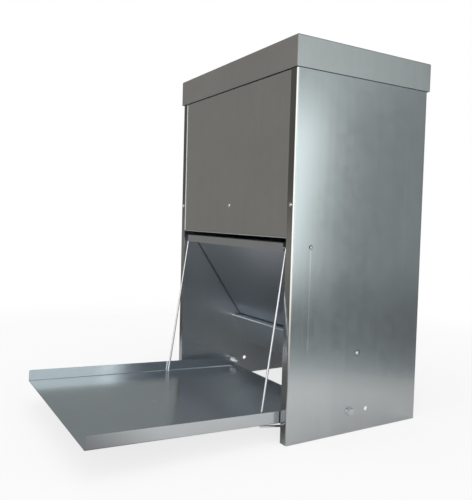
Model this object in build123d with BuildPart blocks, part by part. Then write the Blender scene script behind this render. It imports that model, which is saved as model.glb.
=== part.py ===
"""Treadle-operated poultry feeder in folded galvanised sheet.

A hopper with a lift-off lid stands on the floor. A bird that steps on the treadle pushes it down to the
floor; two bent-wire rods hung on the treadle pull the front lip of the feed flap down, and the flap swings
up and back under the hopper chute, which uncovers the trough. A steel bar folded into the flap's lower edge
brings the flap and the treadle back.

Frame: +Z up, +X to the right seen from the front, the front faces -Y. The origin is on the floor, on the
centre plane, at mid-thickness of the back panel's bottom edge. Millimetres.
"""

from build123d import *

import math
import os

os.makedirs("parts", exist_ok=True)

# ---------------------------------------------------------------- driving dimensions
HEIGHT = 540.0  # floor to top of lid
BODY_WIDTH = 340.0  # over the two side walls
BODY_DEPTH = 243.0  # over the walls' front and back flanges
SHEET = 0.8  # sheet thickness of every folded piece
BEND = 1.2  # bend radius at mid-thickness
WALL_BEND = 2.6  # the same for the side walls
WALL_FLANGE = 14.0  # width of the walls' folded front and back edges
PANEL_FOOT = 276.0  # bottom edge of the front panel
PANEL_RETURN = 8.0  # inward fold along that edge

LID_RIM = 41.0  # height of the lid's skirt
LID_GAP = 1.7  # between skirt and body
LID_CORNER = 1.0  # radius of its four upright edges
LID_EDGE = 1.5  # radius round its top

CHUTE_TOP = 331.0  # where the chute leaves the front panel
CHUTE_FLANGE_FOOT = 309.0
CHUTE_ANGLE = 28.0  # slope below horizontal, degrees
CHUTE_DEPTH = 211.0  # front face to the chute's hanging apron
CHUTE_FOOT = 118.0  # lower edge of the apron
CHUTE_SIDE = 10.0  # height of its side folds
CHUTE_BEND = 3.0

TROUGH_FLOOR = 61.5
TROUGH_LIP = 117.5  # top of the ledge that the flap shuts on
TROUGH_LIP_DEPTH = 110.0
TROUGH_LIP_WIDTH = 28.0
TROUGH_TOE_DEPTH = 146.0  # where the leaning front meets the floor
TROUGH_BACK = 17.0  # height of the fold against the back panel
TROUGH_RIVET_DEPTH = 121.0
TROUGH_RIVET_HEIGHT = 114.0
TROUGH_BACK_RIVET_X = 100.0
TROUGH_BACK_RIVET_HEIGHT = 71.0

FLAP_PIVOT_DEPTH = 31.0
FLAP_PIVOT_HEIGHT = 265.0
FLAP_ANGLE = 55.7  # slope below horizontal when shut, degrees
FLAP_LENGTH = 175.5  # from the pivot to the lower edge
FLAP_HALF = 166.0  # half-width of the plate
LIP_HALF = 146.0  # half-width of the pulled lip
LIP_DEPTH = 2.4  # front face of the lip
LIP_TOP = 270.0
LIP_FOOT = 258.0

AXLE_RADIUS = 2.0
AXLE_HOLE = 2.9
WIRE_RADIUS = 1.5
ROD_X = 149.0
ROD_TOP_DEPTH = 5.6
ROD_TOP_HEIGHT = 263.5
ROD_FOOT_DEPTH = -29.0
ROD_FOOT_LENGTH = 40.0
ROD_FOOT_GAP = 0.5  # rest gap between foot and treadle
ROD_BEND = 3.0
ROD_TOP_BEND = 2.0
ROD_SLOT = (6.4, 4.2)  # length and width of the treadle's slots
CLIP_RADIUS = 2.3  # push-on clips of the rods

TREADLE_PIVOT_DEPTH = 109.5
TREADLE_PIVOT_HEIGHT = 31.0
TREADLE_PITCH = 2.6  # front end up at rest, degrees
TREADLE_HALF = 154.0
TREADLE_REACH = 373.0  # pivot to front edge
TREADLE_TAIL = 6.5  # pivot to rear edge
TREADLE_DROP = 10.0  # pivot to underside of the plate
TREADLE_FLANGE = 17.0
TREADLE_FRONT_CORNER = 5.0  # radii of the flanges' corners
TREADLE_REAR_CORNER = 2.0
LOCK_DEPTH = 141.0
LOCK_HEIGHT = 30.5
LOCK_RADIUS = 3.25

RIVET_RADIUS = 1.6
RIVET_HEAD = 3.2
RIVET_DOME = 1.5
RIVET_HOLE = 1.65
RIVET_TAIL_RADIUS = 2.3
RIVET_TAIL = 2.6  # length of the formed tail
RIVET_HEIGHT = 321.0
BOLT_RADIUS = 3.0
BOLT_HOLE = 3.2
BOLT_LENGTH = 30.0
RUNNING_FIT = 0.06  # radial clearance of everything that turns
PRESSED_FIT = 0.02  # radial clearance of clips and nuts
OVERSHOOT = 1.0  # how far a cut runs past the sheet

# ---------------------------------------------------------------- derived places
REAR = 1.5 * SHEET
FRONT = REAR - BODY_DEPTH
HALF = BODY_WIDTH / 2
INNER = HALF - SHEET
PANEL_HALF = INNER - WALL_BEND  # the panels stop short of the walls' inner bends
WALL_TOP = HEIGHT - SHEET


def behind(depth):
    """Y of a place that lies depth behind the front face of the body."""
    return FRONT + depth


def drill_x(points, radius, low, high):
    """Cut round holes along X, from x = low to high, at (y, z) points of the part being built."""
    with BuildSketch(Plane.YZ.offset(low)) as holes:
        with Locations(*points):
            Circle(radius)
    extrude(holes.sketch, amount=high - low, mode=Mode.SUBTRACT)


def drill_y(points, radius, low, high):
    """Cut round holes along Y, from y = low to high, at (x, z) points of the part being built."""
    with BuildSketch(Plane.XZ.offset(-high)) as holes:
        with Locations(*points):
            Circle(radius)
    extrude(holes.sketch, amount=high - low, mode=Mode.SUBTRACT)


def folded_strip(plane, points, radius=BEND):
    """Section of a folded sheet whose mid-thickness runs through the points."""
    with BuildSketch(plane) as strip:
        with BuildLine():
            FilletPolyline(*points, radius=radius)
        trace(line_width=SHEET)
    return strip.sketch


FRONT_RIVET_X = HALF - WALL_FLANGE / 2
BACK_RIVET_HEIGHTS = (40.0, 270.0, 480.0)
flap_pivot = (behind(FLAP_PIVOT_DEPTH), FLAP_PIVOT_HEIGHT)
treadle_pivot = (behind(TREADLE_PIVOT_DEPTH), TREADLE_PIVOT_HEIGHT)
lock_hole = (behind(LOCK_DEPTH), LOCK_HEIGHT)
trough_rivet = (behind(TROUGH_RIVET_DEPTH), TROUGH_RIVET_HEIGHT)
trough_back_rivets = [(x, TROUGH_BACK_RIVET_HEIGHT) for x in (-TROUGH_BACK_RIVET_X, TROUGH_BACK_RIVET_X)]

# ---------------------------------------------------------------- side walls
with BuildPart() as right_side_wall:
    flange_x = HALF - WALL_FLANGE
    web_x = HALF - SHEET / 2
    extrude(
        folded_strip(
            Plane.XY,
            [
                (flange_x, FRONT + SHEET / 2),
                (web_x, FRONT + SHEET / 2),
                (web_x, REAR - SHEET / 2),
                (flange_x, REAR - SHEET / 2),
            ],
            radius=WALL_BEND,
        ),
        amount=WALL_TOP,
    )
    drill_x([flap_pivot], AXLE_HOLE, INNER - OVERSHOOT, HALF + OVERSHOOT)
    drill_x([trough_rivet], RIVET_HOLE, INNER - OVERSHOOT, HALF + OVERSHOOT)
    drill_x([treadle_pivot], BOLT_HOLE, INNER - OVERSHOOT, HALF + OVERSHOOT)
    drill_x([lock_hole], LOCK_RADIUS, INNER - OVERSHOOT, HALF + OVERSHOOT)
    drill_y([(FRONT_RIVET_X, RIVET_HEIGHT)], RIVET_HOLE, FRONT - OVERSHOOT, FRONT + SHEET + OVERSHOOT)
    drill_y(
        [(FRONT_RIVET_X, z) for z in BACK_RIVET_HEIGHTS],
        RIVET_HOLE,
        REAR - SHEET - OVERSHOOT,
        REAR + OVERSHOOT,
    )

with BuildPart() as left_side_wall:
    mirror(right_side_wall.part, about=Plane.YZ)

# ---------------------------------------------------------------- front and back panels
with BuildPart() as front_panel:
    panel_y = FRONT + 1.5 * SHEET
    extrude(
        folded_strip(
            Plane.YZ,
            [
                (panel_y, WALL_TOP),
                (panel_y, PANEL_FOOT + SHEET / 2),
                (panel_y + PANEL_RETURN, PANEL_FOOT + SHEET / 2),
            ],
        ),
        amount=PANEL_HALF,
        both=True,
    )
    drill_y(
        [(x, RIVET_HEIGHT) for x in (-FRONT_RIVET_X, 0, FRONT_RIVET_X)],
        RIVET_HOLE,
        FRONT,
        FRONT + 2 * SHEET + OVERSHOOT,
    )

with BuildPart() as back_panel:
    with BuildSketch(Plane.XZ.offset(-SHEET / 2)):
        with Locations((0, WALL_TOP / 2)):
            Rectangle(2 * PANEL_HALF, WALL_TOP)
    extrude(amount=SHEET)
    drill_y(
        [(side * FRONT_RIVET_X, z) for side in (-1, 1) for z in BACK_RIVET_HEIGHTS],
        RIVET_HOLE,
        -SHEET,
        SHEET,
    )
    drill_y(trough_back_rivets, RIVET_HOLE, -SHEET, SHEET)

# ---------------------------------------------------------------- hopper chute
slope = math.radians(CHUTE_ANGLE)
chute_flange_y = FRONT + 2.5 * SHEET
apron_y = behind(CHUTE_DEPTH)
apron_top = CHUTE_TOP - (apron_y - chute_flange_y) * math.tan(slope)
down_chute = Plane(
    origin=(PANEL_HALF, chute_flange_y, CHUTE_TOP),
    x_dir=(0, math.cos(slope), -math.sin(slope)),
    z_dir=(-1, 0, 0),
)

with BuildPart() as hopper_chute:
    extrude(
        folded_strip(
            Plane.YZ,
            [
                (chute_flange_y, CHUTE_FLANGE_FOOT),
                (chute_flange_y, CHUTE_TOP),
                (apron_y, apron_top),
                (apron_y, CHUTE_FOOT),
            ],
            radius=CHUTE_BEND,
        ),
        amount=PANEL_HALF,
        both=True,
    )
    slope_length = (apron_y - chute_flange_y) / math.cos(slope)
    fold_length = slope_length - 8 * CHUTE_BEND
    with BuildSketch(down_chute):
        with Locations((slope_length / 2, -CHUTE_SIDE / 2)):
            RectangleRounded(fold_length, CHUTE_SIDE, CHUTE_BEND)
        with Locations((slope_length / 2, -CHUTE_SIDE / 4)):
            Rectangle(fold_length, CHUTE_SIDE / 2)
    right_fold = extrude(amount=SHEET)
    mirror(right_fold, about=Plane.YZ)
    drill_y(
        [(x, RIVET_HEIGHT) for x in (-FRONT_RIVET_X, 0, FRONT_RIVET_X)],
        RIVET_HOLE,
        FRONT + SHEET,
        FRONT + 3 * SHEET + OVERSHOOT,
    )

# ---------------------------------------------------------------- feed trough
with BuildPart() as feed_trough:
    lip_z = TROUGH_LIP - SHEET / 2
    floor_z = TROUGH_FLOOR + SHEET / 2
    trough_back_y = -SHEET
    lip_y = behind(TROUGH_LIP_DEPTH) + SHEET / 2
    toe_y = behind(TROUGH_TOE_DEPTH)
    extrude(
        folded_strip(
            Plane.YZ,
            [
                (lip_y + TROUGH_LIP_WIDTH, lip_z),
                (lip_y, lip_z),
                (toe_y, floor_z),
                (trough_back_y, floor_z),
                (trough_back_y, floor_z + TROUGH_BACK),
            ],
        ),
        amount=INNER,
        both=True,
    )
    with BuildSketch(Plane.YZ.offset(INNER - SHEET)):
        with BuildLine():
            Polyline(
                (lip_y + 2, lip_z),
                (toe_y, floor_z),
                (trough_back_y, floor_z),
                (trough_back_y, floor_z + 2 * TROUGH_BACK),
                (lip_y + TROUGH_LIP_WIDTH, lip_z),
                close=True,
            )
        make_face()
    end_plate = extrude(amount=SHEET)
    mirror(end_plate, about=Plane.YZ)
    with BuildSketch(Plane.XY.offset(floor_z - SHEET)):  # the rear corners clear the walls' inner bends
        with Locations((-INNER, 0), (INNER, 0)):
            Rectangle(2 * WALL_BEND, 2 * WALL_BEND)
    extrude(amount=TROUGH_LIP, mode=Mode.SUBTRACT)
    drill_x([trough_rivet], RIVET_HOLE, -HALF, HALF)
    drill_y(trough_back_rivets, RIVET_HOLE, -2 * SHEET, 0)


# ---------------------------------------------------------------- rivets
def rivet(grip):
    """Blind rivet along Z: the head's underside is at z = 0 and the formed tail starts at z = -grip."""
    dome_radius = (RIVET_HEAD**2 + RIVET_DOME**2) / (2 * RIVET_DOME)
    dome_angle = math.degrees(math.asin(RIVET_HEAD / dome_radius))
    with BuildPart() as body:
        with BuildSketch(Plane.XZ):
            with BuildLine():
                Polyline(
                    (0, RIVET_DOME),
                    (0, -grip - RIVET_TAIL),
                    (0.75 * RIVET_TAIL_RADIUS, -grip - RIVET_TAIL),
                    (RIVET_TAIL_RADIUS, -grip - 0.7 * RIVET_TAIL),
                    (RIVET_TAIL_RADIUS, -grip),
                    (RIVET_RADIUS, -grip),
                    (RIVET_RADIUS, 0),
                    (RIVET_HEAD, 0),
                )
                CenterArc((0, RIVET_DOME - dome_radius), dome_radius, 90 - dome_angle, dome_angle)
            make_face()
        revolve(axis=Axis.Z)
    return body.part


front_places = [
    Plane(origin=(side * FRONT_RIVET_X, FRONT, RIVET_HEIGHT), z_dir=(0, -1, 0)) for side in (-1, 1)
]
with BuildPart() as front_rivets:
    with Locations(*front_places):
        add(rivet(3 * SHEET))
    with Locations(Plane(origin=(0, FRONT + SHEET, RIVET_HEIGHT), z_dir=(0, -1, 0))):
        add(rivet(2 * SHEET))

back_places = [
    Plane(origin=(side * FRONT_RIVET_X, REAR, z), z_dir=(0, 1, 0))
    for side in (-1, 1)
    for z in BACK_RIVET_HEIGHTS
]
with BuildPart() as back_rivets:
    with Locations(*back_places):
        add(rivet(2 * SHEET))

trough_places = [Plane(origin=(side * HALF, *trough_rivet), z_dir=(side, 0, 0)) for side in (-1, 1)]
trough_places += [Plane(origin=(x, SHEET / 2, z), z_dir=(0, 1, 0)) for x, z in trough_back_rivets]
with BuildPart() as trough_rivets:
    with Locations(*trough_places):
        add(rivet(2 * SHEET))

# ---------------------------------------------------------------- lid
with BuildPart() as lid_cap:
    lid_half = HALF + LID_GAP + SHEET
    lid_depth = BODY_DEPTH + 2 * (LID_GAP + SHEET)
    with BuildSketch(Plane.XY.offset(HEIGHT)):
        with Locations((0, (REAR + FRONT) / 2)):
            Rectangle(2 * lid_half, lid_depth)
    extrude(amount=-LID_RIM)
    fillet(lid_cap.edges().filter_by(Axis.Z), LID_CORNER)
    fillet(lid_cap.faces().sort_by(Axis.Z)[-1].edges(), LID_EDGE)
    offset(amount=-SHEET, openings=lid_cap.faces().sort_by(Axis.Z)[0])

# ---------------------------------------------------------------- treadle
pitch = math.radians(TREADLE_PITCH)
treadle_across = Plane(
    origin=(0, *treadle_pivot),
    x_dir=(1, 0, 0),
    z_dir=(0, -math.cos(pitch), math.sin(pitch)),
)
treadle_flat = Plane(
    origin=(0, *treadle_pivot),
    x_dir=(1, 0, 0),
    z_dir=(0, math.sin(pitch), math.cos(pitch)),
)
rod_slot_back = (TREADLE_PIVOT_DEPTH - ROD_FOOT_DEPTH) / math.cos(pitch) - ROD_FOOT_GAP

with BuildPart() as treadle_plate:
    side = TREADLE_HALF - SHEET / 2
    plate_h = SHEET / 2 - TREADLE_DROP
    extrude(
        folded_strip(
            treadle_across.offset(-TREADLE_TAIL),
            [
                (-side, TREADLE_FLANGE - TREADLE_DROP),
                (-side, plate_h),
                (side, plate_h),
                (side, TREADLE_FLANGE - TREADLE_DROP),
            ],
        ),
        amount=TREADLE_TAIL + TREADLE_REACH,
    )
    flange_ends = treadle_plate.edges().filter_by(Axis.X).filter_by(lambda edge: edge.length < 2 * SHEET)
    fillet(flange_ends.sort_by(Axis.Y)[-2:], TREADLE_FRONT_CORNER)
    fillet(flange_ends.sort_by(Axis.Y)[:2], TREADLE_REAR_CORNER)
    drill_x([treadle_pivot], BOLT_RADIUS + RUNNING_FIT, -HALF, HALF)
    with BuildSketch(treadle_flat.offset(-TREADLE_DROP - OVERSHOOT)):
        with Locations((-ROD_X, -rod_slot_back), (ROD_X, -rod_slot_back)):
            SlotOverall(*ROD_SLOT, rotation=90)
    extrude(amount=SHEET + 2 * OVERSHOOT, mode=Mode.SUBTRACT)

# ---------------------------------------------------------------- treadle fasteners
WASHER = 1.2
WASHER_RADIUS = 6.0
SIDE_PLAY = 0.2
SPACER_RADIUS = 5.0
HEX = 5.0  # half the distance across flats
BOLT_HEAD = 4.0
NUT = 5.0
NUT_COLLAR = 1.2  # the nylon ring's housing beyond the hexagon
NUT_COLLAR_RADIUS = 4.3
bolt_head_x = HALF + WASHER
inner_washer_x = TREADLE_HALF - SHEET - SIDE_PLAY - WASHER
nut_x = inner_washer_x - NUT

with BuildPart() as treadle_bolts:
    with BuildSketch(Plane.YZ.offset(bolt_head_x)):
        with Locations(treadle_pivot):
            RegularPolygon(HEX, 6, major_radius=False)
    extrude(amount=BOLT_HEAD)
    chamfer(treadle_bolts.faces().sort_by(Axis.X)[-1].edges(), 0.5)
    with BuildSketch(Plane.YZ.offset(bolt_head_x)):
        with Locations(treadle_pivot):
            Circle(BOLT_RADIUS)
    extrude(amount=-BOLT_LENGTH)
    chamfer(treadle_bolts.faces().sort_by(Axis.X)[0].edges(), 0.6)
    mirror(about=Plane.YZ)

with BuildPart() as treadle_spacers:
    with BuildSketch(Plane.YZ.offset(TREADLE_HALF + SIDE_PLAY)):
        with Locations(treadle_pivot):
            Circle(SPACER_RADIUS)
            Circle(BOLT_RADIUS + RUNNING_FIT, mode=Mode.SUBTRACT)
    extrude(amount=INNER - TREADLE_HALF - SIDE_PLAY)
    mirror(about=Plane.YZ)

with BuildPart() as treadle_washers:
    for washer_x in (HALF, inner_washer_x):
        with BuildSketch(Plane.YZ.offset(washer_x)):
            with Locations(treadle_pivot):
                Circle(WASHER_RADIUS)
                Circle(BOLT_RADIUS + RUNNING_FIT, mode=Mode.SUBTRACT)
        extrude(amount=WASHER)
    mirror(about=Plane.YZ)

with BuildPart() as treadle_lock_nuts:
    with BuildSketch(Plane.YZ.offset(nut_x)):
        with Locations(treadle_pivot):
            RegularPolygon(HEX, 6, major_radius=False)
    extrude(amount=NUT)
    with BuildSketch(Plane.YZ.offset(nut_x)):
        with Locations(treadle_pivot):
            Circle(NUT_COLLAR_RADIUS)
    extrude(amount=-NUT_COLLAR)
    drill_x([treadle_pivot], BOLT_RADIUS + PRESSED_FIT, nut_x - 2 * NUT_COLLAR, nut_x + 2 * NUT)
    mirror(about=Plane.YZ)

# ---------------------------------------------------------------- flap axle
AXLE_HALF = HALF + 1.2
AXLE_CLIP_RADIUS = 5.0
CLIP = 1.0  # thickness of the push-on clips
with BuildPart() as flap_axle:
    with BuildSketch(Plane.YZ.offset(-AXLE_HALF)):
        with Locations(flap_pivot):
            Circle(AXLE_RADIUS)
    extrude(amount=2 * AXLE_HALF)
    fillet(flap_axle.edges().filter_by(GeomType.CIRCLE), AXLE_RADIUS / 4)

with BuildPart() as axle_clips:
    with BuildSketch(Plane.YZ.offset(INNER - 2 * CLIP)):
        with Locations(flap_pivot):
            Circle(AXLE_CLIP_RADIUS)
            Circle(AXLE_RADIUS + PRESSED_FIT, mode=Mode.SUBTRACT)
    extrude(amount=CLIP)
    mirror(about=Plane.YZ)

# ---------------------------------------------------------------- feed flap
tilt = math.radians(FLAP_ANGLE)
down_plate = Vector(0, math.cos(tilt), -math.sin(tilt))
off_plate = Vector(0, math.sin(tilt), math.cos(tilt))
AXLE_TO_PLATE = -(AXLE_RADIUS + 0.2 + SHEET / 2)  # the plate hangs in front of the axle
plate_root = Vector(0, *flap_pivot) + off_plate * AXLE_TO_PLATE
flap_side = Plane(origin=plate_root, x_dir=down_plate, z_dir=(1, 0, 0))
BAR_WIDTH = 25.0
BAR_THICK = 4.0
BAR_HALF = 150.0
POCKET = BAR_THICK + SHEET + 0.2  # mid-thickness to mid-thickness across the hem
HEM_LEG = BAR_WIDTH + 3.0
EAR_MARGIN = 5.5  # the ears reach this far behind the axle
EAR_CORNER = 4.0
NOTCH_DEPTH = 8.0  # beside the lip, the plate's top corners are cut away to here below the pivot


def on_flap(along, off):
    """(y, z) of a place along the flap's plate from the pivot and off its mid-thickness, to the back."""
    place = plate_root + down_plate * along + off_plate * off
    return (place.Y, place.Z)


with BuildPart() as feed_flap:
    web_z = LIP_TOP - SHEET / 2
    lip_front_y = behind(LIP_DEPTH) + SHEET / 2
    web_along = (plate_root.Z - web_z) / math.sin(tilt)
    extrude(
        folded_strip(
            Plane.YZ,
            [
                (lip_front_y, LIP_FOOT),
                (lip_front_y, web_z),
                on_flap(web_along, 0),
                on_flap(FLAP_LENGTH, 0),
                on_flap(FLAP_LENGTH, POCKET),
                on_flap(FLAP_LENGTH - HEM_LEG, POCKET),
            ],
        ),
        amount=FLAP_HALF,
        both=True,
    )
    with BuildSketch(flap_side.offset(LIP_HALF)):
        with Locations((NOTCH_DEPTH, 0)):
            Rectangle(FLAP_PIVOT_DEPTH * 2, FLAP_PIVOT_DEPTH * 3, align=(Align.MAX, Align.CENTER))
    notch = extrude(amount=FLAP_HALF, mode=Mode.SUBTRACT)
    mirror(notch, about=Plane.YZ, mode=Mode.SUBTRACT)
    with BuildSketch(Plane.YZ.offset(LIP_HALF - SHEET)) as ear_outline:
        ear_back_y = flap_pivot[0] + EAR_MARGIN
        with Locations((lip_front_y, web_z)):
            Rectangle(
                ear_back_y - lip_front_y,
                web_z - LIP_FOOT - BEND,
                align=(Align.MIN, Align.MAX),
            )
        fillet(ear_outline.vertices().group_by(Axis.X)[-1], EAR_CORNER)
    ear = extrude(amount=SHEET)
    mirror(ear, about=Plane.YZ)
    drill_x([flap_pivot], AXLE_RADIUS + RUNNING_FIT, -HALF, HALF)
    drill_x([(behind(ROD_TOP_DEPTH), ROD_TOP_HEIGHT)], WIRE_RADIUS + RUNNING_FIT, -HALF, HALF)

with BuildPart() as flap_weight_bar:
    with BuildSketch(flap_side.offset(-BAR_HALF)):
        with Locations((FLAP_LENGTH - 2 - BAR_WIDTH / 2, POCKET / 2)):
            Rectangle(BAR_WIDTH, BAR_THICK)
    extrude(amount=2 * BAR_HALF)
    chamfer(flap_weight_bar.edges().filter_by(Axis.X), SHEET / 2)

# ---------------------------------------------------------------- pull rods
plate_under = (
    TREADLE_PIVOT_HEIGHT
    - TREADLE_DROP / math.cos(pitch)
    + (TREADLE_PIVOT_DEPTH - ROD_FOOT_DEPTH) * math.tan(pitch)
)
rod_foot_z = plate_under - WIRE_RADIUS - ROD_FOOT_GAP
rod_lean = math.atan2(ROD_TOP_DEPTH - ROD_FOOT_DEPTH, ROD_TOP_HEIGHT - rod_foot_z)
ROD_TAIL_X = LIP_HALF - 8.0

with BuildPart() as right_pull_rod:
    with BuildLine() as wire:
        FilletPolyline(
            (ROD_TAIL_X, behind(ROD_TOP_DEPTH), ROD_TOP_HEIGHT),
            (ROD_X, behind(ROD_TOP_DEPTH), ROD_TOP_HEIGHT),
            (ROD_X, behind(ROD_FOOT_DEPTH), rod_foot_z),
            (
                ROD_X,
                behind(ROD_FOOT_DEPTH) + ROD_FOOT_LENGTH * math.cos(rod_lean),
                rod_foot_z - ROD_FOOT_LENGTH * math.sin(rod_lean),
            ),
            radius=(ROD_TOP_BEND, ROD_BEND),
        )
    with BuildSketch(Plane.YZ.offset(ROD_TAIL_X)):
        with Locations((behind(ROD_TOP_DEPTH), ROD_TOP_HEIGHT)):
            Circle(WIRE_RADIUS)
    sweep(path=wire.line)

with BuildPart() as left_pull_rod:
    mirror(right_pull_rod.part, about=Plane.YZ)

with BuildPart() as right_rod_clip:
    with BuildSketch(Plane.YZ.offset(LIP_HALF - 3 * CLIP)):
        with Locations((behind(ROD_TOP_DEPTH), ROD_TOP_HEIGHT)):
            Circle(CLIP_RADIUS)
            Circle(WIRE_RADIUS + PRESSED_FIT, mode=Mode.SUBTRACT)
    extrude(amount=CLIP)

with BuildPart() as left_rod_clip:
    mirror(right_rod_clip.part, about=Plane.YZ)

# ---------------------------------------------------------------- files
right_side_wall.part.label = "right_side_wall"
left_side_wall.part.label = "left_side_wall"
front_panel.part.label = "front_panel"
back_panel.part.label = "back_panel"
hopper_chute.part.label = "hopper_chute"
feed_trough.part.label = "feed_trough"
front_rivets.part.label = "front_rivets"
back_rivets.part.label = "back_rivets"
trough_rivets.part.label = "trough_rivets"
lid_cap.part.label = "lid_cap"
treadle_plate.part.label = "treadle_plate"
treadle_bolts.part.label = "treadle_bolts"
treadle_spacers.part.label = "treadle_spacers"
treadle_washers.part.label = "treadle_washers"
treadle_lock_nuts.part.label = "treadle_lock_nuts"
flap_axle.part.label = "flap_axle"
axle_clips.part.label = "axle_clips"
feed_flap.part.label = "feed_flap"
flap_weight_bar.part.label = "flap_weight_bar"
right_pull_rod.part.label = "right_pull_rod"
left_pull_rod.part.label = "left_pull_rod"
right_rod_clip.part.label = "right_rod_clip"
left_rod_clip.part.label = "left_rod_clip"

export_step(right_side_wall.part, "parts/right_side_wall.step")
export_step(left_side_wall.part, "parts/left_side_wall.step")
export_step(front_panel.part, "parts/front_panel.step")
export_step(back_panel.part, "parts/back_panel.step")
export_step(hopper_chute.part, "parts/hopper_chute.step")
export_step(feed_trough.part, "parts/feed_trough.step")
export_step(front_rivets.part, "parts/front_rivets.step")
export_step(back_rivets.part, "parts/back_rivets.step")
export_step(trough_rivets.part, "parts/trough_rivets.step")
export_step(lid_cap.part, "parts/lid_cap.step")
export_step(treadle_plate.part, "parts/treadle_plate.step")
export_step(treadle_bolts.part, "parts/treadle_bolts.step")
export_step(treadle_spacers.part, "parts/treadle_spacers.step")
export_step(treadle_washers.part, "parts/treadle_washers.step")
export_step(treadle_lock_nuts.part, "parts/treadle_lock_nuts.step")
export_step(flap_axle.part, "parts/flap_axle.step")
export_step(axle_clips.part, "parts/axle_clips.step")
export_step(feed_flap.part, "parts/feed_flap.step")
export_step(flap_weight_bar.part, "parts/flap_weight_bar.step")
export_step(right_pull_rod.part, "parts/right_pull_rod.step")
export_step(left_pull_rod.part, "parts/left_pull_rod.step")
export_step(right_rod_clip.part, "parts/right_rod_clip.step")
export_step(left_rod_clip.part, "parts/left_rod_clip.step")
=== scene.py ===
"""Looks of the treadle poultry feeder: galvanised-sheet materials, rivet mandrels, and a pale studio.

Metres, in the frame of the CAD model: +Z up, the feeder's front faces -Y, +X to its right.
"""

import math

import bmesh
import bpy
from mathutils import Matrix, Vector


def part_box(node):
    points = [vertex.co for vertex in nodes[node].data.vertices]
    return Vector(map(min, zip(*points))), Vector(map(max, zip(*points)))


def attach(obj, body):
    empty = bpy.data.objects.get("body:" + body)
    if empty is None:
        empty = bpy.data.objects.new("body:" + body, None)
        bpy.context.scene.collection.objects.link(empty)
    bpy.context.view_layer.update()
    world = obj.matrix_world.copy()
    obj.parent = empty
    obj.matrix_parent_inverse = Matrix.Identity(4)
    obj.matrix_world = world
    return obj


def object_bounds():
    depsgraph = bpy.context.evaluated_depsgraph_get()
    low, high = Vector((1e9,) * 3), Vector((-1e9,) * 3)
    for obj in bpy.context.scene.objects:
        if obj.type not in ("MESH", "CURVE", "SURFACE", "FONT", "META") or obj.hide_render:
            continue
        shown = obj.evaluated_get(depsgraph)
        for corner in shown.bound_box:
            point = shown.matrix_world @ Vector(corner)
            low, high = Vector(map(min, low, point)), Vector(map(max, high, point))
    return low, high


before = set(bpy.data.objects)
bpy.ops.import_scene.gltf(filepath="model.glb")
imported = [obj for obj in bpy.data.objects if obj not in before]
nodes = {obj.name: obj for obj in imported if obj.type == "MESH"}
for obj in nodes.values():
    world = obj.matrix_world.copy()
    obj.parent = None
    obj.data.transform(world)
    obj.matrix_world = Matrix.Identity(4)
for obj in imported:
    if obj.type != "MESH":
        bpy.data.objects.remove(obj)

cad_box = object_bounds()
MM = 0.001

wall_low, wall_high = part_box("right_side_wall")
FRONT = wall_low.y
WALL_OUTER = wall_high.x
axle_low, axle_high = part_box("flap_axle")
AXLE_Y = (axle_low.y + axle_high.y) / 2
AXLE_Z = (axle_low.z + axle_high.z) / 2


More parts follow.
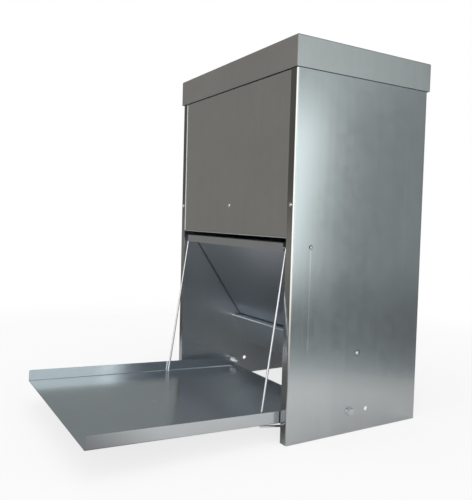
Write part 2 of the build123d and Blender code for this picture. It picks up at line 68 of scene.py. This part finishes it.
# ---------------------------------------------------------------- node graphs
class Graph:
    """A short way to write a node tree: each method adds a node and returns its output socket."""

    def __init__(self, tree):
        self.tree = tree
        tree.nodes.clear()

    def node(self, kind, inputs=None, **settings):
        """Adds the node itself and returns it, for what the other methods don't cover."""
        made = self.tree.nodes.new(kind)
        for name, value in settings.items():
            setattr(made, name, value)
        for name, value in (inputs or {}).items():
            self.feed(made.inputs[name], value)
        return made

    def feed(self, socket, value):
        if isinstance(value, bpy.types.NodeSocket):
            self.tree.links.new(value, socket)
        else:
            socket.default_value = value

    def math(self, operation, *values):
        made = self.node("ShaderNodeMath", operation=operation)
        for socket, value in zip(made.inputs, values):
            self.feed(socket, value)
        return made.outputs[0]

    def add(self, *values):
        total = values[0]
        for value in values[1:]:
            total = self.math("ADD", total, value)
        return total

    def times(self, *values):
        total = values[0]
        for value in values[1:]:
            total = self.math("MULTIPLY", total, value)
        return total

    def one_minus(self, value):
        return self.math("SUBTRACT", 1.0, value)

    def smooth(self, value, start, end):
        """0 before start and 1 after end, with a smooth rise between; start may be the larger."""
        made = self.node("ShaderNodeMapRange", interpolation_type="SMOOTHSTEP")
        low, high = sorted((start, end))
        for name, given in (("Value", value), ("From Min", low), ("From Max", high)):
            self.feed(made.inputs[name], given)
        result = made.outputs["Result"]
        return self.one_minus(result) if start > end else result

    def window(self, value, low, high, soft):
        """1 between low and high, falling to 0 over soft on each side."""
        return self.times(self.smooth(value, low - soft, low), self.smooth(value, high + soft, high))

    def swing(self, value, amount):
        """A 0..1 pattern as a variation of -amount/2 .. +amount/2."""
        return self.times(self.math("SUBTRACT", value, 0.5), amount)

    def stretched(self, vector, scale):
        made = self.node("ShaderNodeVectorMath", operation="MULTIPLY")
        self.feed(made.inputs[0], vector)
        made.inputs[1].default_value = scale
        return made.outputs[0]

    def shifted(self, vector, distance):
        made = self.node("ShaderNodeVectorMath", operation="ADD")
        self.feed(made.inputs[0], vector)
        made.inputs[1].default_value = (distance, distance, distance)
        return made.outputs[0]

    def length(self, vector):
        return self.node("ShaderNodeVectorMath", {"Vector": vector}, operation="LENGTH").outputs["Value"]

    def noise(self, vector, scale, detail):
        inputs = {"Vector": vector, "Scale": scale, "Detail": detail}
        return self.node("ShaderNodeTexNoise", inputs).outputs["Fac"]

    def cells(self, vector, scale):
        """One random grey per crystal."""
        made = self.node("ShaderNodeTexVoronoi", {"Vector": vector, "Scale": scale})
        return self.split(made.outputs["Color"])[0]

    def split(self, vector):
        return self.node("ShaderNodeSeparateXYZ", {"Vector": vector}).outputs

    def joined(self, x, y, z=0.0):
        return self.node("ShaderNodeCombineXYZ", {"X": x, "Y": y, "Z": z}).outputs[0]

    def mix(self, factor, first, second):
        """Colour first where factor is 0 and second where it is 1."""
        made = self.node("ShaderNodeMix", data_type="RGBA")
        # By index, because the node's number, vector and colour sockets share their names.
        for index, value in ((0, factor), (6, first), (7, second)):
            self.feed(made.inputs[index], value)
        return made.outputs[2]

    def mixed_shaders(self, factor, first, second):
        made = self.node("ShaderNodeMixShader")
        for socket, value in zip(made.inputs, (factor, first, second)):
            self.feed(socket, value)
        return made.outputs[0]

    def tinted(self, colour, value):
        """A colour multiplied by a grey value."""
        made = self.node("ShaderNodeVectorMath", operation="SCALE")
        made.inputs[0].default_value = colour
        self.feed(made.inputs["Scale"], value)
        return made.outputs[0]


# ---------------------------------------------------------------- fixings
SAME_POINT = 0.01 * MM


def islands(node):
    """(lowest, highest) corner of each separate solid of a CAD node."""
    mesh = bmesh.new()
    mesh.from_mesh(nodes[node].data)
    bmesh.ops.remove_doubles(mesh, verts=mesh.verts, dist=SAME_POINT)
    seen = set()
    boxes = []
    for start in mesh.verts:
        if start in seen:
            continue
        seen.add(start)
        group = [start]
        for vert in group:
            for edge in vert.link_edges:
                other = edge.other_vert(vert)
                if other not in seen:
                    seen.add(other)
                    group.append(other)
        places = [vert.co.copy() for vert in group]
        boxes.append(tuple(Vector(pick(p[i] for p in places) for i in range(3)) for pick in (min, max)))
    mesh.free()
    return boxes


def wall_fixings():
    """(y, z, radius) of each round end that stands out of the right wall."""
    found = []
    for node in ("treadle_bolts", "trough_rivets", "flap_axle"):
        for low, high in islands(node):
            if high.x > WALL_OUTER:
                found.append(((low.y + high.y) / 2, (low.z + high.z) / 2, (high.z - low.z) / 2))
    return found


# ---------------------------------------------------------------- metals
def metal(name, colour, roughness, height):
    """A bare-metal material from colour, roughness and height-in-metres recipes."""
    material = bpy.data.materials.new(name)
    material.use_nodes = True
    graph = Graph(material.node_tree)
    # Object coordinates are those of the CAD frame at rest, because every node's origin is the frame's.
    coordinates = graph.node("ShaderNodeTexCoord").outputs
    recipe = {"point": coordinates["Object"], "normal": coordinates["Normal"]}
    bump = graph.node("ShaderNodeBump", {"Strength": 1.0, "Distance": 1.0, "Height": height(graph, recipe)})
    surface = graph.node(
        "ShaderNodeBsdfPrincipled",
        {
            "Base Color": colour(graph, recipe),
            "Metallic": 1.0,
            "Roughness": roughness(graph, recipe),
            "Normal": bump.outputs["Normal"],
        },
    )
    output = graph.node("ShaderNodeOutputMaterial")
    graph.feed(output.inputs["Surface"], surface.outputs["BSDF"])
    return material


GRAIN = 60.0  # how much finer a rolled pattern is across the rolling direction than along it
ALONG = {"x": (1.0, GRAIN, GRAIN), "y": (GRAIN, 1.0, GRAIN), "z": (GRAIN, GRAIN, 1.0)}
STREAKS = (2.2, 3.0)  # noise scale per metre, and detail
HAIRLINES = (8.0, 1.0)
CLOUDS = (9.0, 3.0)
WAVES = (5.0, 1.0)
CRYSTALS = 70.0
COLOUR_SWINGS = {"streaks": 0.05, "hairlines": 0.04, "clouds": 0.07, "crystals": 0.02}
ROUGHNESS_SWINGS = {"clouds": 0.06, "streaks": 0.03, "crystals": 0.012}
WAVE_HEIGHT = 0.12 * MM
HAIRLINE_HEIGHT = 0.0015 * MM
EDGE_RADIUS = 0.7 * MM
# Edges brighten from wear and from a painted highlight.
EDGE_TURN = (0.99, 0.85)  # cosine of the turn at which wear on an edge starts, and is full
DUST_TOP = 30 * MM  # floor dust reaches up to here
DUST_ROUGHNESS = 0.08
INSIDE_ROUGHNESS = 0.17  # added to the side walls' inner faces by feed dust

FACING = (0.8, 0.95)  # a normal's component at which a face counts as facing that way
FACING_BACK = (-0.8, -0.95)
END_FOLD = (0.6, 0.8)


def swings(graph, recipe, amounts):
    return (graph.swing(recipe[pattern], amount) for pattern, amount in amounts.items())


def sheet(name, tint, grain, roughness, tone=None, dulled=None, seed=0.0, edge_wear_and_highlight=0.15):
    """Galvanised sheet: rolling streaks, faint crystals, cloudy patches, worn and highlit edges, gentle
    waves.

    grain is the rolling direction, tone scales the colour, dulled adds to the roughness, and the last
    argument is how much brighter the cut edges and bends are: partly wear, partly a painted highlight.
    """

    def patterns(graph, recipe):
        if "streaks" in recipe:
            return
        place = graph.shifted(recipe["point"], seed)
        if grain == "x":  # the grain turns down with the end folds
            x, y, z = graph.split(place)
            turned_down = graph.joined(z, y, x)
            end_fold = graph.smooth(graph.math("ABSOLUTE", graph.split(recipe["normal"])[0]), *END_FOLD)
            place = graph.mix(end_fold, place, turned_down)
        rolled = graph.stretched(place, ALONG[grain])
        recipe["place"] = place
        recipe["streaks"] = graph.noise(rolled, *STREAKS)
        recipe["hairlines"] = graph.noise(rolled, *HAIRLINES)
        recipe["clouds"] = graph.noise(place, *CLOUDS)
        recipe["crystals"] = graph.cells(place, CRYSTALS)

    def worn_and_highlit_edges(graph, recipe):
        """1 on the sheet's cut edges and bends, broken up by the streaks: where they are worn and get a
        painted highlight.
        """
        rounded = graph.node("ShaderNodeBevel", {"Radius": EDGE_RADIUS}, samples=3)
        geometry = graph.node("ShaderNodeNewGeometry")
        turn = graph.node("ShaderNodeVectorMath", operation="DOT_PRODUCT")
        graph.feed(turn.inputs[0], rounded.outputs[0])
        graph.feed(turn.inputs[1], geometry.outputs["Normal"])
        edge = graph.smooth(turn.outputs["Value"], *EDGE_TURN)
        return graph.times(edge, graph.add(0.5, recipe["streaks"]))

    def colour(graph, recipe):
        patterns(graph, recipe)
        value = graph.add(1.0, *swings(graph, recipe, COLOUR_SWINGS))
        if tone:
            value = graph.times(value, tone(graph, recipe))
        # Painted highlight, with wear: cut edges and bends are made brighter in the colour.
        value = graph.add(value, graph.times(worn_and_highlit_edges(graph, recipe), edge_wear_and_highlight))
        return graph.tinted(tint, value)

    def finish(graph, recipe):
        patterns(graph, recipe)
        dust = graph.times(graph.smooth(graph.split(recipe["point"])[2], DUST_TOP, 0.0), DUST_ROUGHNESS)
        value = graph.add(roughness, *swings(graph, recipe, ROUGHNESS_SWINGS), dust)
        return graph.add(value, dulled(graph, recipe)) if dulled else value

    def height(graph, recipe):
        patterns(graph, recipe)
        waves = graph.times(graph.noise(recipe["place"], *WAVES), WAVE_HEIGHT)
        lines = graph.times(recipe["hairlines"], HAIRLINE_HEIGHT)
        return graph.add(waves, lines)

    return metal(name, colour, finish, height)


def inner_faces(graph, recipe):
    """1 on the faces that look towards the feeder's centre plane from either side."""
    facing = graph.split(recipe["normal"])[0]
    side = graph.math("SIGN", graph.split(recipe["point"])[0])
    return graph.smooth(graph.times(facing, side), *FACING_BACK)


def wall_dulling(graph, recipe):
    """The walls are rougher inside."""
    return graph.times(inner_faces(graph, recipe), INSIDE_ROUGHNESS)


# Tones are added to 1, so a negative one darkens. A rise is where a mark starts and where it is complete.
SKIN = (0.3 * MM, 0.1 * MM)  # depth under a face over which a mark on it fades in
FLANGE_SKIN = (0.6 * MM, 0.3 * MM)
FLANGE_WIDTH = (14.5 * MM, 14.2 * MM)
# Painted shade on the front flanges, at the top and behind the treadle.
FLANGE_TOP_RISE, FLANGE_TOP_SHADE = (0.24, 0.36), -0.6
FLANGE_BOTTOM_RISE, FLANGE_BOTTOM_SHADE = (0.2, 0.1), -0.35
SCORE_HALF_WIDTH = 0.7 * MM
SCORE_SOFT_SIDE = 0.8 * MM
SCORE_REACH = (-0.13, -0.012)  # from the axle's height
SCORE_SOFT_END = 0.02
SCORE_TONE = 0.22
# Painted contact shade, with dirt, in a ring round each fixing.
DARK_RING_REACH = (1.8 * MM, 0.5 * MM)  # outside a fixing's edge
GRIME_AND_SHADE_TONE = -0.55
# Painted shade on the walls' inner faces, lifted by painted light low down.
INSIDE_PAINTED_SHADE = -0.10
INSIDE_LOW_RISE, INSIDE_LOW_PAINTED_LIGHT = (0.25, 0.06), 0.30


def flange_shade(graph, recipe):
    """Painted shade: the walls' front flanges are darker at the top and, less so, behind the treadle."""
    x, y, z = graph.split(recipe["point"])
    flange = graph.times(
        graph.smooth(y, *(FRONT + depth for depth in FLANGE_SKIN)),
        graph.smooth(graph.math("ABSOLUTE", x), *(WALL_OUTER - width for width in FLANGE_WIDTH)),
        graph.smooth(graph.split(recipe["normal"])[1], *FACING_BACK),
    )
    top = graph.times(graph.smooth(z, *FLANGE_TOP_RISE), FLANGE_TOP_SHADE)
    bottom = graph.times(graph.smooth(z, *FLANGE_BOTTOM_RISE), FLANGE_BOTTOM_SHADE)
    return graph.times(flange, graph.add(top, bottom))


def scored_line(graph, recipe):
    """A straight scratch down the outer face, below the axle's end."""
    x, y, z = graph.split(recipe["point"])
    line = graph.times(
        graph.window(y, AXLE_Y - SCORE_HALF_WIDTH, AXLE_Y + SCORE_HALF_WIDTH, SCORE_SOFT_SIDE),
        graph.window(z, *(AXLE_Z + reach for reach in SCORE_REACH), SCORE_SOFT_END),
        graph.smooth(graph.math("ABSOLUTE", x), *(WALL_OUTER - depth for depth in SKIN)),
    )
    return graph.times(line, SCORE_TONE)


def grime_and_shade_rings(graph, recipe):
    """Dark rings around the bolts, rivets and axle ends in the walls: gathered dirt and painted contact
    shade.
    """
    _, y, z = graph.split(recipe["point"])
    grime_and_shade = 0.0
    for centre_y, centre_z, radius in wall_fixings():
        away = graph.length(graph.joined(graph.add(y, -centre_y), graph.add(z, -centre_z)))
        ring = graph.smooth(away, *(radius + reach for reach in DARK_RING_REACH))
        grime_and_shade = graph.math("MAXIMUM", grime_and_shade, ring)
    return graph.times(grime_and_shade, GRIME_AND_SHADE_TONE)


def wall_tone(graph, recipe):
    """Marks of the side walls, and painted shade on their insides, darker above than below."""
    z = graph.split(recipe["point"])[2]
    painted_light_below = graph.times(graph.smooth(z, *INSIDE_LOW_RISE), INSIDE_LOW_PAINTED_LIGHT)
    inside = graph.times(inner_faces(graph, recipe), graph.add(INSIDE_PAINTED_SHADE, painted_light_below))
    marks_and_shade = (mark(graph, recipe) for mark in (flange_shade, scored_line, grime_and_shade_rings))
    return graph.add(1.0, inside, *marks_and_shade)


SCUFFS = (  # (noise scale per metre along x, y and z, noise value where a scuff starts and is complete)
    ((40.0, 260.0, 260.0), (0.66, 0.72)),
    ((330.0, 45.0, 330.0), (0.68, 0.74)),
)
SCUFF_TONE = 0.10
REAR_SHADE_RISE, REAR_PAINTED_SHADE = (-0.09, -0.03), -0.27  # this rise and the next from the feeder's front
FLANGE_LIGHT_RISE, FLANGE_FRONT_LIGHT = (-0.17, -0.12), 0.37
FLANGE_INSIDE_SHADE = -0.15


def treadle_tone(graph, recipe):
    """Claw scuffs on top of the treadle, painted shade at its rear under the opening, and painted shade and
    light on the insides of its flanges.
    """
    point = recipe["point"]
    patterns = ((graph.noise(graph.stretched(point, scale), 1.0, 2.0), rise) for scale, rise in SCUFFS)
    scuffs = graph.add(*(graph.smooth(pattern, *rise) for pattern, rise in patterns))
    top = graph.smooth(graph.split(recipe["normal"])[2], *FACING)
    y = graph.split(point)[1]
    # Painted shade: the treadle's top is darker at its rear, under the opening.
    shaded_rear = graph.smooth(y, *(FRONT + distance for distance in REAR_SHADE_RISE))
    # Painted shade on the insides of the flanges, turned to painted light towards the front.
    lit_front = graph.smooth(y, *(FRONT + distance for distance in FLANGE_LIGHT_RISE))
    flanges = graph.add(FLANGE_INSIDE_SHADE, graph.times(lit_front, FLANGE_FRONT_LIGHT))
    return graph.add(
        1.0,
        graph.times(scuffs, top, SCUFF_TONE),
        graph.times(shaded_rear, top, REAR_PAINTED_SHADE),
        graph.times(flanges, inner_faces(graph, recipe)),
    )


# Painted shade along the lid's bends.
BEND_TURN, BEND_PAINTED_SHADE = (0.995, 0.93), -0.5  # it is a bend where no component of the normal is near 1
LIP_FACING = (-0.86, -0.93)
# Painted shade on the flap's slope; the lip is lifted back to full colour.
SHADED_SLOPE_LEVEL, LIP_SHADE_LIFT = 0.68, 0.32


def lid_tone(graph, recipe):
    """Painted shade where the lid is bent: along its top edge and down its corners."""
    x, y, z = (graph.math("ABSOLUTE", part) for part in graph.split(recipe["normal"]))
    flat = graph.math("MAXIMUM", graph.math("MAXIMUM", x, y), z)
    bent = graph.smooth(flat, *BEND_TURN)
    return graph.add(1.0, graph.times(bent, BEND_PAINTED_SHADE))


def flap_tone(graph, recipe):
    """Painted shade darkens the flap's slope, and its upright lip keeps its full colour."""
    upright = graph.smooth(graph.split(recipe["normal"])[1], *LIP_FACING)
    return graph.add(SHADED_SLOPE_LEVEL, graph.times(upright, LIP_SHADE_LIFT))


PATCHES = (260.0, 3.0)  # noise scale per metre, and detail
DULLEST_PATCH, PATCH_SPREAD = 0.93, 0.16
POLISH = (400.0, 2.0)
POLISH_SWING = 0.08
TOOL_LINE_DETAIL = 2.0
TOOL_LINE_HEIGHT = 0.01 * MM


def turned(name, tint, roughness, line_scale):
    """Zinc-plated or drawn metal with fine tool lines and a few dull patches."""

    def colour(graph, recipe):
        patches = graph.noise(recipe["point"], *PATCHES)
        return graph.tinted(tint, graph.add(DULLEST_PATCH, graph.times(patches, PATCH_SPREAD)))

    def finish(graph, recipe):
        return graph.add(roughness, graph.swing(graph.noise(recipe["point"], *POLISH), POLISH_SWING))

    def height(graph, recipe):
        return graph.times(graph.noise(recipe["point"], line_scale, TOOL_LINE_DETAIL), TOOL_LINE_HEIGHT)

    return metal(name, colour, finish, height)


# Roughness keeps clear of 0.27, where the denoiser turns from one way of handling metal to another.
ZINC = (0.72, 0.763, 0.805)
materials = {
    "body_sheet": sheet("body_sheet", ZINC, "z", 0.16, wall_tone, wall_dulling),
    "inner_sheet": sheet("inner_sheet", (0.80, 0.86, 0.92), "x", 0.34, seed=0.31),
    "lid_sheet": sheet("lid_sheet", (0.68, 0.705, 0.73), "x", 0.33, lid_tone, seed=0.57, edge_wear_and_highlight=0.04),
    "treadle_sheet": sheet("treadle_sheet", (0.72, 0.763, 0.81), "y", 0.19, treadle_tone, seed=0.83),
    "flap_sheet": sheet("flap_sheet", (0.68, 0.73, 0.81), "x", 0.33, flap_tone, seed=1.19),
    "rivet": turned("rivet", (0.90, 0.94, 0.98), 0.22, 900.0),
    "zinc_fastener": turned("zinc_fastener", (0.80, 0.85, 0.92), 0.22, 1200.0),
    "steel_wire": turned("steel_wire", (0.76, 0.82, 0.92), 0.22, 700.0),
    "bar_steel": turned("bar_steel", (0.42, 0.42, 0.43), 0.45, 350.0),
}
for node in nodes.values():
    for slot in node.material_slots:
        slot.material = materials[slot.material.name.split(".")[0]]


# ---------------------------------------------------------------- rivet mandrels
MANDREL = [  # (radius, height) in mm of the broken mandrel end, standing in a shallow ring on the dome
    (0.0, 0.42),
    (0.55, 0.38),
    (0.72, 0.22),
    (0.76, -0.15),
    (0.98, -0.12),
    (1.12, 0.02),
    (1.28, -0.10),
    (1.30, -0.45),
    (0.0, -0.45),
]
SEGMENTS = 20


def turned_profile(mesh, profile, placed):
    """Adds a surface of revolution to mesh: profile holds (radius, height), and placed is its matrix."""
    angles = [2 * math.pi * i / SEGMENTS for i in range(SEGMENTS)]
    rings = []
    for radius, height in profile:
        points = [(0, 0, height)]  # on the axis a ring is a single point
        if radius:
            points = [(radius * math.cos(angle), radius * math.sin(angle), height) for angle in angles]
        rings.append([mesh.verts.new(placed @ Vector(point)) for point in points])
    for lower, upper in zip(rings, rings[1:]):
        for i in range(SEGMENTS):
            j = (i + 1) % SEGMENTS
            corners = [ring[k % len(ring)] for ring, k in ((lower, i), (lower, j), (upper, j), (upper, i))]
            mesh.faces.new(list(dict.fromkeys(corners)))


mandrel_steel = turned("mandrel_steel", (0.58, 0.57, 0.56), 0.34, 900.0)


def mandrels(node, outward):
    """One mandrel end on each rivet of the node; outward gives a rivet's direction from its middle."""
    mesh = bmesh.new()
    profile = [(radius * MM, height * MM) for radius, height in MANDREL]
    for low, high in islands(node):
        middle = (low + high) / 2
        direction = outward(middle)
        top = middle + direction * abs(direction.dot(high - middle))
        turn = direction.to_track_quat("Z", "X").to_matrix().to_4x4()
        turned_profile(mesh, profile, Matrix.Translation(top) @ turn)
    bmesh.ops.recalc_face_normals(mesh, faces=mesh.faces)
    data = bpy.data.meshes.new(node + "_mandrels")
    mesh.to_mesh(data)
    mesh.free()
    data.polygons.foreach_set("use_smooth", [True] * len(data.polygons))
    data.materials.append(mandrel_steel)
    piece = bpy.data.objects.new(node + "_mandrels", data)
    bpy.context.scene.collection.objects.link(piece)
    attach(piece, "feeder_body")


def out_of_trough(middle):
    """The trough's rivets face out of the side walls, and the others out of the back."""
    if abs(middle.x) > 0.9 * WALL_OUTER:
        return Vector((math.copysign(1, middle.x), 0, 0))
    return Vector((0, 1, 0))


mandrels("front_rivets", lambda middle: Vector((0, -1, 0)))
mandrels("back_rivets", lambda middle: Vector((0, 1, 0)))
mandrels("trough_rivets", out_of_trough)


# ---------------------------------------------------------------- studio
WHITE = (1.0, 1.0, 1.0, 1.0)
COOL = (0.93, 1.0, 0.965)
WARM = (1.08, 1.0, 0.88)
BASE_LEVEL = 0.235
LEVELS = {  # what each part of the mirrored studio adds to it
    "soft_box": 1.02,
    "upper_right": 0.24,
    "far_right": 0.32,
    "beside_camera": 1.2,
    "overhead": -0.08,
    "front_left": -0.04,
    "below": -0.10,
    "near_floor": 0.36,
}


def mirrored_studio(graph):
    """What the metal mirrors: a large soft box at the right rear, a dim front, a dark far floor.

    Numbers are degrees of azimuth, from +X towards +Y, and of elevation above the horizon.
    """
    x, y, z = graph.split(graph.node("ShaderNodeTexCoord").outputs["Generated"])
    azimuth = graph.math("DEGREES", graph.math("ARCTAN2", y, x))
    elevation = graph.math("DEGREES", graph.math("ARCSINE", z))

    lean = graph.smooth(elevation, 9.0, -3.0)  # the soft box's sides lean, and it is brighter below
    leaning = graph.add(azimuth, graph.times(lean, 1.6))
    gain = graph.add(1.0, graph.times(lean, 0.12))
    tilt = graph.swing(graph.smooth(azimuth, 36.0, 49.0), 1.6)  # of the near floor's edge
    parts = {
        "soft_box": (
            graph.window(leaning, 6.0, 37.4, 2.8),
            graph.times(graph.smooth(elevation, -10.0, -2.0), graph.smooth(elevation, 14.5, 8.0)),
            gain,
        ),
        "upper_right": (graph.window(azimuth, 6.0, 38.0, 14.0), graph.smooth(elevation, 8.0, 16.0)),
        "far_right": (graph.window(azimuth, -5.0, 22.0, 10.0), graph.smooth(elevation, 4.0, 10.0)),
        "beside_camera": (
            graph.window(azimuth, -92.0, -15.0, 10.0),
            graph.window(elevation, -6.0, 14.0, 9.0),
        ),
        "overhead": (graph.smooth(elevation, 25.0, 60.0),),
        "front_left": (graph.smooth(azimuth, -95.0, -120.0), graph.smooth(elevation, 40.0, 15.0)),
        "below": (graph.smooth(elevation, -3.0, -9.0),),
        "near_floor": (graph.smooth(graph.add(elevation, tilt), -12.6, -15.6),),
    }
    level = graph.add(BASE_LEVEL, *(graph.times(*factors, LEVELS[name]) for name, factors in parts.items()))
    from_front = graph.smooth(azimuth, 0.0, -30.0)
    return graph.mix(from_front, graph.tinted(COOL, level), graph.tinted(WARM, level))


def studio_world():
    """White all round, except in the metal's reflections."""
    world = bpy.data.worlds.new("studio")
    bpy.context.scene.world = world
    world.use_nodes = True
    graph = Graph(world.node_tree)
    mirrored = graph.node("ShaderNodeLightPath").outputs["Is Glossy Ray"]
    lit = graph.mix(mirrored, WHITE, mirrored_studio(graph))
    background = graph.node("ShaderNodeBackground", {"Color": lit, "Strength": 1.0})
    output = graph.node("ShaderNodeOutputWorld")
    graph.feed(output.inputs["Surface"], background.outputs[0])


FLOOR_RADIUS = 1.25
FLOOR_FADE = 0.80  # where it starts to fade out
SHEEN_RADIUS = 0.62  # the part of it that the metal mirrors
SHEEN_FADE = 0.42
FLOOR_TONE = 0.95
FLOOR_GLOW = 0.82  # share of its brightness that no shadow touches
MIRRORED_TINT = (1.02, 1.0, 0.96)
MIRRORED_LOSS = 0.315  # how much darker it is in reflections, and below, in which parts of it more so
REAR_LOSS = 0.15
AHEAD_LOSS = 0.44
EDGED_PATCH_LOSS = 0.045
PATCH_EDGE_SLANT = -0.827  # of the line where the darker mirrored patch starts
PATCH_EDGE = (-0.058, -0.048)


def floor_material():
    """A pale matt floor that fades out into the white around it; only in the metal's reflections is it
    darker, a painted reflection.
    """
    material = bpy.data.materials.new("studio_floor")
    material.use_nodes = True
    graph = Graph(material.node_tree)
    point = graph.node("ShaderNodeTexCoord").outputs["Object"]
    across, depth, _ = graph.split(point)
    mirrored = graph.node("ShaderNodeLightPath").outputs["Is Glossy Ray"]

    # Painted reflection: only the metal sees these darker parts of the floor.
    rear = graph.times(graph.smooth(depth, 0.10, 0.45), REAR_LOSS)
    ahead = graph.times(graph.smooth(depth, -0.10, -0.25), AHEAD_LOSS)
    beyond_patch_edge = graph.smooth(graph.add(depth, graph.times(across, PATCH_EDGE_SLANT)), *PATCH_EDGE)
    edged_patch = graph.times(beyond_patch_edge, EDGED_PATCH_LOSS)
    loss = graph.times(mirrored, graph.add(MIRRORED_LOSS, rear, ahead, edged_patch))
    speckle = graph.swing(graph.noise(point, 350.0, 3.0), 0.02)
    tone = graph.math("SUBTRACT", graph.add(FLOOR_TONE, speckle), loss)
    colour = graph.mix(mirrored, graph.joined(tone, tone, tone), graph.tinted(MIRRORED_TINT, tone))
    board = graph.node("ShaderNodeBsdfDiffuse", {"Color": colour, "Roughness": 0.6})
    glow = graph.node("ShaderNodeEmission", {"Color": colour})
    directly_seen = graph.one_minus(mirrored)
    lit = graph.mixed_shaders(graph.times(directly_seen, FLOOR_GLOW), board.outputs[0], glow.outputs[0])

    distance = graph.length(point)
    seen_fade = graph.times(graph.smooth(distance, FLOOR_FADE, FLOOR_RADIUS), directly_seen)
    mirrored_fade = graph.times(graph.smooth(distance, SHEEN_FADE, SHEEN_RADIUS), mirrored)
    clear = graph.node("ShaderNodeBsdfTransparent")
    faded = graph.mixed_shaders(graph.add(seen_fade, mirrored_fade), lit, clear.outputs[0])
    output = graph.node("ShaderNodeOutputMaterial")
    graph.feed(output.inputs["Surface"], faded)
    return material


def studio_floor():
    middle = (cad_box[0] + cad_box[1]) / 2
    mesh = bmesh.new()
    bmesh.ops.create_circle(mesh, cap_ends=True, segments=96, radius=FLOOR_RADIUS)
    data = bpy.data.meshes.new("studio_floor")
    mesh.to_mesh(data)
    mesh.free()
    data.materials.append(floor_material())
    floor = bpy.data.objects.new("studio_floor", data)
    floor.location = (middle.x, middle.y, cad_box[0].z)
    bpy.context.scene.collection.objects.link(floor)


def soft_light():
    """A round overhead lamp that casts the soft shadow, and isn't seen or mirrored."""
    place = Vector((0.3, -0.4, 1.9))
    target = Vector((0.0, -0.25, 0.0))
    data = bpy.data.lights.new("overhead_soft_light", "AREA")
    data.shape = "DISK"
    data.size = 1.4
    data.energy = 6.0
    light = bpy.data.objects.new("overhead_soft_light", data)
    light.location = place
    light.rotation_euler = (target - place).to_track_quat("-Z", "Y").to_euler()
    light.visible_camera = False
    light.visible_glossy = False
    bpy.context.scene.collection.objects.link(light)


studio_world()
studio_floor()
soft_light()


# ---------------------------------------------------------------- camera
CAMERA_PLACE = (0.779649, -0.687109, 0.301309)
HEADING = 58.42912  # degrees to the left of +Y
PITCH = -2.75198
ROLL = 1.60175


def studio_camera():
    """To the front right, at half the feeder's height, and turned a little about its own axis."""
    data = bpy.data.cameras.new("camera")
    data.sensor_width = 36.0
    data.lens = 41.525
    data.shift_x = -0.02003
    data.shift_y = -0.00786
    data.clip_start = 0.05
    data.clip_end = 30.0
    camera = bpy.data.objects.new("camera", data)
    heading = Matrix.Rotation(math.radians(HEADING), 4, "Z")
    pitch = Matrix.Rotation(math.radians(90 + PITCH), 4, "X")
    roll = Matrix.Rotation(math.radians(ROLL), 4, "Z")
    camera.matrix_world = Matrix.Translation(CAMERA_PLACE) @ heading @ pitch @ roll
    bpy.context.scene.collection.objects.link(camera)
    bpy.context.scene.camera = camera


studio_camera()
bpy.context.scene.view_settings.view_transform = "Standard"
bpy.context.scene.cycles.glossy_bounces = 8
